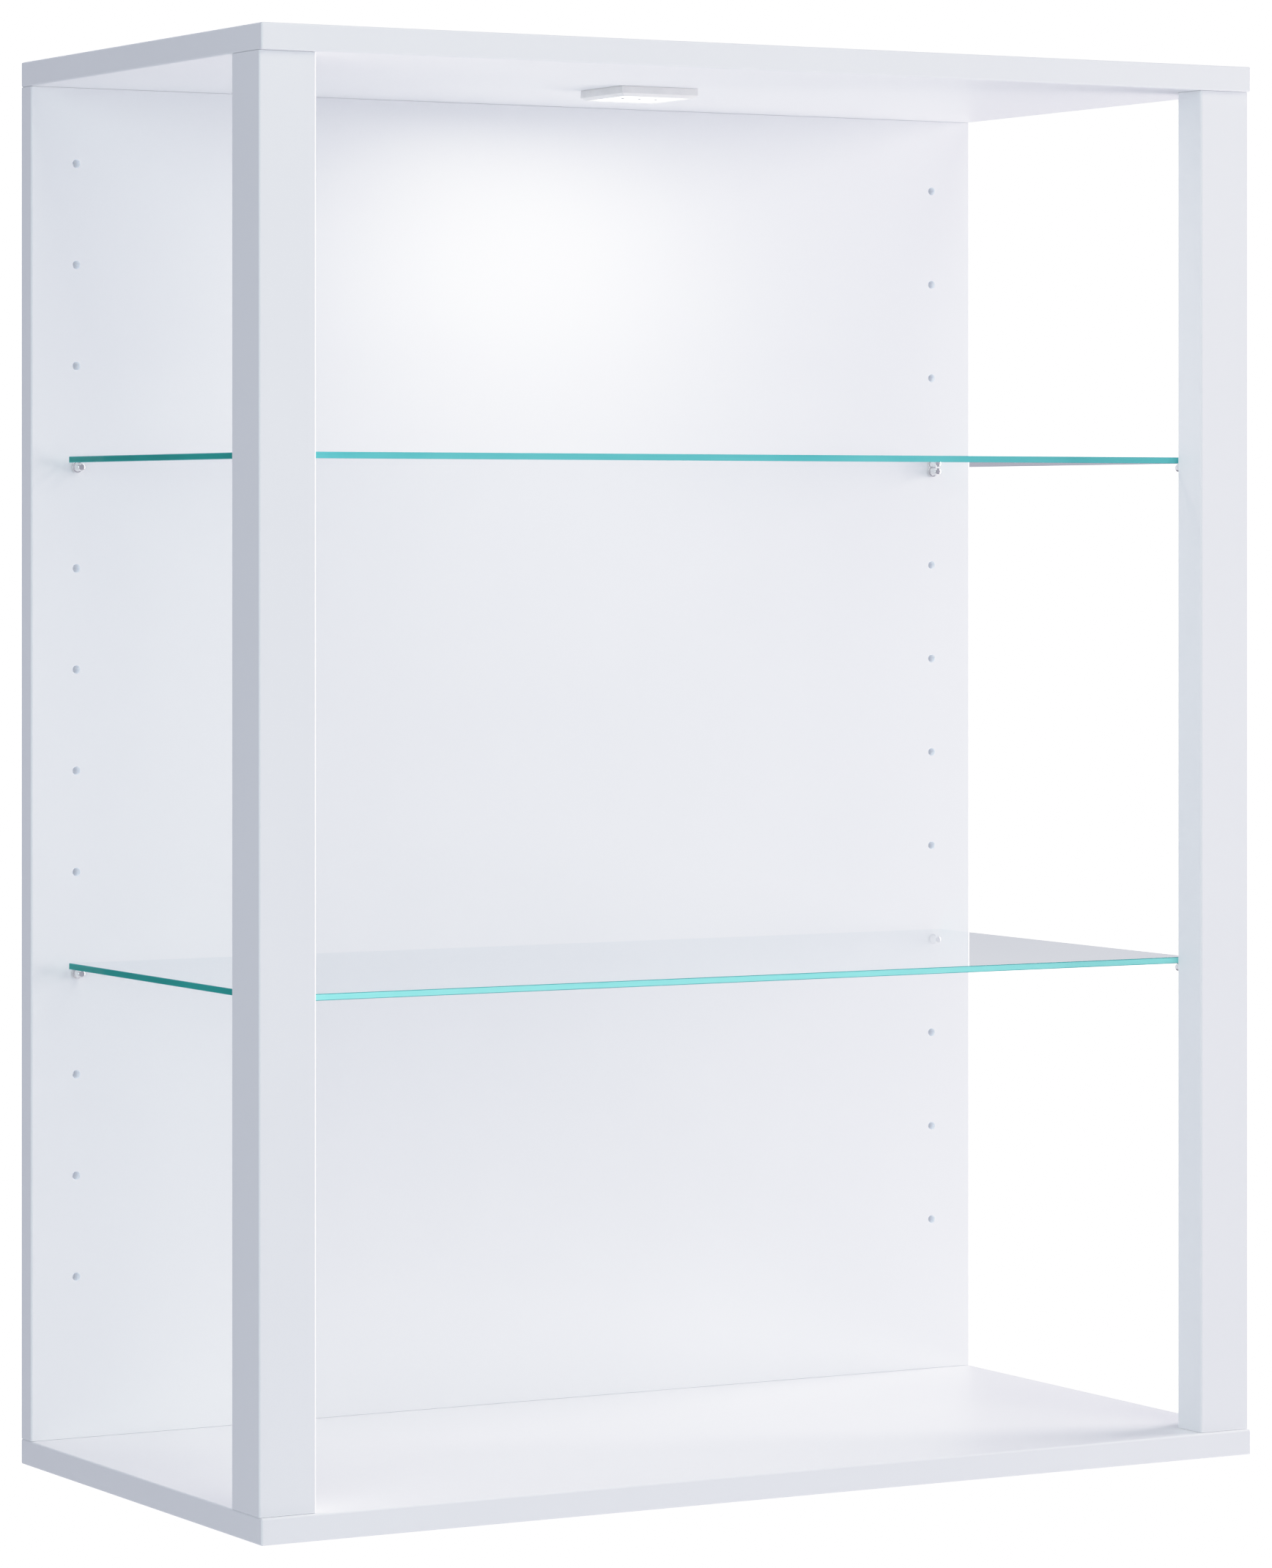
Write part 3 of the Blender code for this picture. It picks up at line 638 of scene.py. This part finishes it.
def hanger_cuts(x):
    """The seat of a hanger plate, the pocket behind its keyhole and the pilots of its screws."""
    half_wide, half_tall = HANGER_HALF[0] + GAP, HANGER_HALF[1] + GAP
    outline = rectangle((x - half_wide, HANGER_Z - half_tall), (x + half_wide, HANGER_Z + half_tall))
    seat = placed(prism(rounded(outline, HANGER_CORNER), -OVERCUT, HANGER_SEAT), tilt=90)
    half_wide, half_tall = POCKET_HALF
    low = (x - half_wide, -POCKET_DEPTH, HANGER_Z - half_tall)
    high = (x + half_wide, POCKET_EDGE, HANGER_Z + half_tall)
    cuts = [seat, slab(low, high, POCKET_EDGE, 2)]
    for place in (-HANGER_SCREW_X, HANGER_SCREW_X):
        cuts.append(bore(*HANGER_PILOT, (x + place, 0, HANGER_Z), -90, sides=FINE_ROUND))
    return cuts


def make_back():
    low, high = BACK_BOX
    outline = rounded(rectangle(low, high), EDGE)
    cuts = []
    for sign in SIDES.values():
        cuts += peg_bores(sign * (HALF_WIDTH - PEG_INSET), BACK_FACE, 90)
        for up in ENDS.values():
            joint = up * CEILING
            turn = 0 if up > 0 else 180
            cam = (sign * CAM_X, BACK_BOX[1].y, joint - up * CAM_REACH)
            cuts.append(bore(*CAM_POCKET, cam, -90, GAP, ROUND))
            bolt = (sign * CAM_X, MID_BACK, joint)
            cuts.append(bore(BOLT_WAY_RADIUS, CAM_REACH, bolt, turn, sides=COARSE_ROUND))
            cuts.append(dowel_hole((sign * DOWEL_X, MID_BACK, joint), DOWEL_DEEP, turn))
        cuts += hanger_cuts(sign * HANGER_X)
    mesh = carved(prism(outline, BOTTOM_BOX[1].z + SEAM, CEILING - SEAM), cuts)
    mark_roundings(mesh)
    piece("back_board", mesh, [LAMINATE, CORE], "back_panel")


def make_post(side, sign):
    low, high = POST_BOX[side]
    outer = high.x if sign > 0 else low.x
    width = high.x - low.x
    depth = high.y - low.y
    corners = [
        (0, 0),
        (width, 0),
        (width, POST_STEP),
        (POST_LEG, POST_STEP),
        (POST_LEG, depth),
        (0, depth),
    ]
    outline = [(outer - sign * x, low.y + y) for x, y in corners][::-sign]
    cuts = peg_bores(sign * (HALF_WIDTH - PEG_INSET), STEP_FACE, -90)
    for up in ENDS.values():
        joint = up * CEILING
        turn = 0 if up > 0 else 180
        cuts.append(screw_way(sign * POST_SCREW[0], POST_SCREW[1], up))
        cuts.append(dowel_hole((sign * POST_DOWEL[0], POST_DOWEL[1], joint), DOWEL_DEEP, turn))
    shape = prism(rounded(outline, EDGE), BOTTOM_BOX[1].z + SEAM, CEILING - SEAM)
    mesh = carved(shape, cuts)
    mark_roundings(mesh)
    piece(f"{side}_post", mesh, [LAMINATE, CORE], f"{side}_front_post")


for end, up in ENDS.items():
    make_board(end, up)
make_back()
for side, sign in SIDES.items():
    make_post(side, sign)


# ---------------------------------------------------------------- glass shelves

GLASS_FACE = glass_face_look()
ARRIS = 0.0004  # the glass edges' small chamfer
# painted light: each shelf and each edge gets its own lighter or darker teal, for how light passes
# through and reflects in that pane, not a different glass
SIDE_EDGE = ((0.001, 0.28, 0.25), (0.006, 0.37, 0.33))
GLASS_EDGES = {  # looks of the front edge, the side edges and the arrises
    "upper": [
        glass_edge_look("upper_glass_front_edge", (0.11, 0.53, 0.54), (0.16, 0.60, 0.60)),
        glass_edge_look("upper_glass_side_edge", *SIDE_EDGE),
        glass_edge_look("upper_glass_arris", (0.12, 0.50, 0.52), (0.16, 0.56, 0.57)),
    ],
    "lower": [
        glass_edge_look("lower_glass_front_edge", (0.31, 0.83, 0.79), (0.36, 0.88, 0.83)),
        glass_edge_look("lower_glass_side_edge", *SIDE_EDGE),
        glass_edge_look("lower_glass_arris", (0.03, 0.36, 0.37), (0.06, 0.43, 0.43)),
    ],
}


def make_shelf(level):
    low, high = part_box(f"{level}_glass_shelf")
    shape = slab(low, high, ARRIS, 2)
    for face in shape.faces:
        along = [abs(part) for part in face.normal]
        if along[2] > FLAT or face.normal.y > REARWARD:
            face.material_index = 0  # the rear edge, against the back board, is clear too
        elif along[1] > FLAT:
            face.material_index = 1
        elif along[0] > FLAT:
            face.material_index = 2
        else:
            face.material_index = 3
    piece(
        f"{level}_shelf_glass",
        shape,
        [GLASS_FACE, *GLASS_EDGES[level]],
        f"{level}_glass_shelf",
        f"{level}_shelf",
    )


for level in ("upper", "lower"):
    make_shelf(level)


# ---------------------------------------------------------------- shelf pins

NICKEL = metal_look("nickel_plate", (0.86, 0.86, 0.855), 0.20, (1, 0.1, 1))

PIN_PROFILE = [  # radius and height above the board's face, in mm
    (0, 8.5),
    (1.7, 8.5),
    (2.05, 8.42),
    (2.35, 8.2),
    (2.5, 7.9),
    (2.5, 2.15),
    (2.6, 1.98),
    (2.8, 1.9),
    (3.3, 1.9),
    (3.5, 1.82),
    (3.6, 1.6),
    (3.6, 0.55),
    (3.5, 0.35),
    (3.3, 0.3),
    (2.3, 0.3),
    (2.3, -7.7),
    (2.1, -8.2),
    (1.7, -8.5),
    (0, -8.5),
]


def make_pins():
    for level in ("upper", "lower"):
        for row, face_y, tilt in (("rear", BACK_FACE, 90), ("front", STEP_FACE, -90)):
            for side in SIDES:
                node = f"{level}_shelf_pin_{row}_{side}"
                low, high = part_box(node)
                at = ((low.x + high.x) / 2, face_y, (low.z + high.z) / 2)
                shape = placed(turned(in_mm(PIN_PROFILE)), at, tilt)
                piece(f"{level}_pin_{row}_{side}", shape, [NICKEL], node, even=False)


make_pins()


# ---------------------------------------------------------------- LED light

HOUSING = housing_look()
DIFFUSER = diffuser_look()
DARK_STUD = plastic_look("dark_stud", (0.05, 0.05, 0.055), 0.5)

LED_PROFILE = [  # half width and height above the top board's underside, in mm
    (0, -0.05),
    (27.35, -0.05),
    (27.5, -0.2),
    (27.5, -4.45),
    (27.42, -4.62),
    (24.95, -6.4),
    (24.6, -6.5),
    (24.4, -6.5),
    (24.3, -6.4),
    (24.3, -5.2),
    (22.75, -5.2),
    (22.75, -1.3),
    (0, -1.3),
]
LED_CABLE_HOLE = (0.0040, 0.004)  # radius and depth
LED_SCREW_HOLE = (0.0017, 0.004)
STUD_PROFILE = [(0, -5.5), (1.1, -5.5), (1.1, -6.1), (0, -6.2)]
STUD_PITCH = 0.012  # as the LED chips above them


def make_light():
    middle = Vector((0, MID_DEPTH, CEILING))
    shape = placed(turned(in_mm(LED_PROFILE), square), middle)
    cuts = [bore(*LED_CABLE_HOLE, middle + Vector((0, LED_BACKSET, 0)), sides=COARSE_ROUND)]
    for sign in SIDES.values():
        at = middle + Vector((sign, -sign, 0)) * LED_BACKSET
        cuts.append(bore(*LED_SCREW_HOLE, at, sides=FINE_ROUND))
    mesh = carved(shape, cuts)
    mark_roundings(mesh)
    piece("light_housing", mesh, [HOUSING, HOUSING], "led_housing", sharp=25)

    low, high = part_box("led_diffuser")
    half = (high.x - low.x) / 2 / MM
    sides = [(half - 0.1, -5.3), (half, -5.4), (half, -5.6), (half - 0.1, -5.7)]
    pane = placed(turned(in_mm([(0, -5.3), *sides, (0, -5.7)]), square), middle)
    studs = []
    for x in (-STUD_PITCH, 0, STUD_PITCH):
        stud = turned(in_mm(STUD_PROFILE), lambda radius: circle(radius, FINE_ROUND))
        studs.append(placed(stud, middle + Vector((x, 0, 0))))
    mesh = carved(pane, studs, "UNION")
    looks = [DIFFUSER, DARK_STUD]
    piece("light_diffuser", mesh, looks, "led_diffuser", sharp=25)


make_light()


# ---------------------------------------------------------------- fittings seen from outside

WHITE_CAP = plastic_look("white_cap", (0.84, 0.84, 0.83), 0.38)
RUBBER = plastic_look("grey_rubber", (0.20, 0.21, 0.22), 0.62, 900.0, 0.00005)
ZINC = spangle_look("zinc_steel", (0.66, 0.67, 0.69), 0.34)
CAST = metal_look("cast_zinc", (0.56, 0.56, 0.57), 0.44, (1, 1, 1), 0.00004, 0.12)
BEECH = beech_look()

# Profiles of turned pieces, radius and height above the face that they are let into, in mm
CAP_PROFILE = [
    (0, 0),
    (5.0, -0.02),
    (5.6, -0.08),
    (5.9, -0.25),
    (6.0, -0.5),
    (6.0, -1.7),
    (5.9, -1.8),
    (0, -1.8),
]
HANGER_SCREW_PROFILE = [
    (0, -0.3),
    (2.8, -0.3),
    (3.0, -0.4),
    (3.0, -0.6),
    (1.5, -1.8),
    (1.5, -11.0),
    (0.3, -13.0),
    (0, -13.0),
]
SINK_PROFILE = [
    (0, 2.0),
    (3.6, 2.0),
    (3.6, -0.6),
    (1.8, -2.1),
    (1.8, -4.0),
    (0, -4.0),
]
SLEEVE_PROFILE = [
    (3.5, 1.5),
    (3.8, 1.75),
    (4.2, 1.8),
    (7.6, 1.8),
    (8.1, 1.7),
    (8.4, 1.45),
    (8.5, 1.1),
    (8.5, 0.3),
    (5.2, 0.3),
    (5.2, -15.7),
    (5.0, -16.0),
    (3.7, -16.0),
    (3.5, -15.8),
]
CAM_ARROW = [(-1.2, 4.5), (1.2, 4.5), (0, 6.2)]  # across and along the face, in mm
CAM_ARROW_CUT = (-0.0003, 0.001)  # from and to
CAM_MOUTH = (0.0038, 0.012)  # radius and depth of the hole for the bolt's head
CAM_MOUTH_AT = (0, 0.010, -0.0079)
CAM_CROSS = (0.0034, 0.0008, 0.001, -0.003)  # half length, half width, top and bottom
HANGER_SCREW_CROSS = (0.0019, 0.00045, 0.001, -0.0016)
CROSS_TAPER = (0.4, 0.7)  # a recess's length and width at its bottom, as shares of those on top


def cross(half_long, half_wide, top, bottom):
    """Cutters for a cross recess that narrows downwards."""
    arms = []
    for turn in (0, 90):
        arm = prism(rectangle((-half_long, -half_wide), (half_long, half_wide)), bottom, top)
        for vertex in arm.verts:
            if vertex.co.z < (top + bottom) / 2:
                vertex.co.x *= CROSS_TAPER[0]
                vertex.co.y *= CROSS_TAPER[1]
        arms.append(placed(arm, tilt=turn, axis="Z"))
    return arms


def make_caps():
    for end, up in ENDS.items():
        for side in SIDES:
            node = f"screw_cap_{end}_{side}"
            low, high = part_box(node)
            at = ((low.x + high.x) / 2, (low.y + high.y) / 2, up * TOP)
            shape = placed(turned(in_mm(CAP_PROFILE)), at, 0 if up > 0 else 180)
            piece(f"cover_cap_{end}_{side}", shape, [WHITE_CAP], node, even=False)


def make_cams():
    """Cam locks seen in the back board: a cross recess and a small arrow towards the joint."""
    for end, up in ENDS.items():
        for side in SIDES:
            node = f"cam_lock_{end}_{side}"
            low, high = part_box(node)
            at = ((low.x + high.x) / 2, high.y, (low.z + high.z) / 2)
            bottom = (low.y - high.y) / MM
            rings = [(6.6, 0), (7.0, -0.15), (7.2, -0.45), (7.2, bottom)]
            shape = turned(in_mm([(0, 0), *rings, (0, bottom)]))
            arrow = prism(in_mm(CAM_ARROW), *CAM_ARROW_CUT)
            mouth = bore(*CAM_MOUTH, CAM_MOUTH_AT, 90, sides=COARSE_ROUND)
            mesh = carved(shape, [*cross(*CAM_CROSS), arrow, mouth])
            turn_back(mesh, at, 0 if up < 0 else 180)
            piece(f"cam_{end}_{side}", mesh, [CAST, CAST], node)


def make_hanger(side, sign):
    low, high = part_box(f"hanger_plate_{side}")
    x, z = (low.x + high.x) / 2, (low.z + high.z) / 2
    outline = rounded(rectangle((low.x, low.z), (high.x, high.z)), HANGER_CORNER)
    plate = prism(outline, -high.y, -low.y)
    edges = [e for e in plate.edges if abs(e.verts[0].co.z - e.verts[1].co.z) < 1e-7]
    bmesh.ops.bevel(plate, geom=edges, offset=0.00025, segments=2, profile=0.5, affect="EDGES")
    plate = placed(plate, tilt=90)
    round_hole, slot_end = z - KEYHOLE_DROP, z + KEYHOLE_RISE
    through = 3 * OVERCUT  # deeper than the plate is thick
    cuts = [
        bore(KEYHOLE_RADIUS, through, (x, OVERCUT, round_hole), -90, sides=ROUND),
        slab((x - KEYHOLE_SLOT, -0.006, round_hole), (x + KEYHOLE_SLOT, 0.004, slot_end), 0, 1),
        bore(KEYHOLE_SLOT, through, (x, OVERCUT, slot_end), -90),
    ]
    for place in (-HANGER_SCREW_X, HANGER_SCREW_X):
        cuts.append(placed(turned(in_mm(SINK_PROFILE)), (x + place, 0, z), -90))
    mesh = carved(plate, cuts)
    piece(f"hanger_{side}", mesh, [ZINC, ZINC], f"hanger_plate_{side}")
    for edge, place in (("outer", sign), ("inner", -sign)):
        node = f"hanger_screw_{side}_{edge}"
        mesh = carved(turned(in_mm(HANGER_SCREW_PROFILE)), cross(*HANGER_SCREW_CROSS))
        turn_back(mesh, (x + place * HANGER_SCREW_X, 0, z))
        piece(f"plate_screw_{side}_{edge}", mesh, [NICKEL, NICKEL], node)


def make_grommet():
    low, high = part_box("cable_grommet")
    centre = ((low.x + high.x) / 2, (low.y + high.y) / 2, TOP)
    shape = placed(turned(in_mm(SLEEVE_PROFILE), closed=True), centre)
    piece("cable_sleeve", shape, [RUBBER], "cable_grommet", even=False)


make_caps()
make_cams()
for side, sign in SIDES.items():
    make_hanger(side, sign)
make_grommet()


# ---------------------------------------------------------------- CAD nodes that stay

KEPT = {  # how a node's name starts, and its look
    "cam_bolt": NICKEL,
    "back_dowel": BEECH,
    "post_dowel": BEECH,
    "post_screw": ZINC,
    "led_circuit_board": circuit_look(),
    "led_chip": phosphor_look(),
    "led_screw": ZINC,
}

for name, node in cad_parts.items():
    for start, look in KEPT.items():
        if name.startswith(start):
            for slot in node.material_slots:
                slot.material = look


# ---------------------------------------------------------------- floor, light and camera


def make_floor():
    """A round pale floor, well under the hanging cabinet."""
    radius, level = 5.4, -2.1
    shape = bmesh.new()
    bmesh.ops.create_circle(shape, cap_ends=True, segments=96, radius=radius)
    floor = bpy.data.objects.new("floor", as_mesh("floor", shape))
    floor.location = (0, 0, level)
    bpy.context.scene.collection.objects.link(floor)
    look = Look("pale_floor")
    tone = look.blend(look.span(look.noise(2.0, 3.0), 0, 1), (0.80, 0.81, 0.82), (0.83, 0.84, 0.85))
    floor.data.materials.append(look.done(look.shader(base_color=tone, roughness=0.7)))


WHITE = 1.4  # light that is shown as full white
SHOULDER = [  # light and how bright it is shown, below white
    (0.2, 0.2),
    (0.4, 0.4),
    (0.6, 0.6),
    (0.76, 0.756),
    (0.9, 0.861),
    (1.05, 0.935),
    (1.2, 0.978),
]
SKY = (0.378, 0.377, 0.449)  # the world's colour as light

LAMPS = {  # place, size, power and colour; each points at the cabinet's middle
    "front_left": ((-2.8, -3.0, 0.4), 2.4, 37.2, (0.825, 0.995, 0.971)),
    "high_front": ((0.2, -2.8, 2.8), 2.2, 35.9, (1.0, 0.987, 0.901)),
    "right": ((3.6, -0.3, 0.2), 2.4, 258.0, (1.0, 0.927, 0.949)),
    "overhead": ((0.0, -0.3, 3.2), 2.4, 8.1, (0.905, 0.99, 1.0)),
    "rear": ((0.4, 3.4, 0.8), 2.4, 25.0, (1.0, 1.0, 1.0)),
}
GLOW_POWER = 0.355
GLOW_COLOUR = (1, 0.961, 0.92)
GLOW_DROP = 0.0008  # of the lamp that stands in for the LEDs, below their diffuser


def lamp(name, at, towards, size, power, colour):
    """A square area light."""
    light = bpy.data.lights.new(name, "AREA")
    light.shape = "SQUARE"
    light.size = size
    light.energy = power
    light.color = colour
    holder = bpy.data.objects.new(name, light)
    holder.location = at
    aim = Vector(towards) - Vector(at)
    holder.rotation_euler = aim.to_track_quat("-Z", "Y").to_euler()
    holder.visible_camera = False
    bpy.context.scene.collection.objects.link(holder)


def make_lights():
    for name, (at, size, power, colour) in LAMPS.items():
        lamp(name, at, (0, MID_DEPTH, 0), size, power, colour)
    low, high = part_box("led_diffuser")
    under = Vector((0, MID_DEPTH, low.z - GLOW_DROP))
    lamp("led_glow", under, under - Vector((0, 0, 1)), high.x - low.x, GLOW_POWER, GLOW_COLOUR)


def make_world():
    """White where the camera sees it, and a softer blue-white for light and reflections."""
    world = bpy.data.worlds.new("studio")
    bpy.context.scene.world = world
    world.use_nodes = True
    tree = world.node_tree
    tree.nodes.clear()
    path = tree.nodes.new("ShaderNodeLightPath")
    mix = tree.nodes.new("ShaderNodeMixShader")
    tree.links.new(path.outputs["Is Camera Ray"], mix.inputs[0])
    for place, colour in ((1, SKY), (2, (WHITE, WHITE, WHITE))):
        sky = tree.nodes.new("ShaderNodeBackground")
        sky.inputs["Color"].default_value = (*colour, 1)
        tree.links.new(sky.outputs[0], mix.inputs[place])
    out = tree.nodes.new("ShaderNodeOutputWorld")
    tree.links.new(mix.outputs[0], out.inputs["Surface"])


def make_camera():
    """The photograph's own view: level, from the left, with the horizon above its middle."""
    data = bpy.data.cameras.new("photo_camera")
    data.lens = 136.460
    data.sensor_width = 36.0
    data.shift_y = -0.16508
    data.clip_start, data.clip_end = 0.05, 60.0
    camera = bpy.data.objects.new("photo_camera", data)
    camera.location = (-1.84983, -3.46732, 0.15038)
    camera.rotation_euler = (math.radians(90), 0, math.radians(-29.299))
    bpy.context.scene.collection.objects.link(camera)
    bpy.context.scene.camera = camera


def make_film():
    """A plain display curve with a soft shoulder, so that the glow and white board keep detail."""
    view = bpy.context.scene.view_settings
    view.view_transform = "Standard"
    view.use_curve_mapping = True
    curves = view.curve_mapping
    curves.white_level = (WHITE, WHITE, WHITE)
    line = curves.curves[3]
    for light, shown in SHOULDER:
        line.points.new(light / WHITE, shown)
    curves.update()


make_floor()
make_world()
make_lights()
make_camera()
make_film()
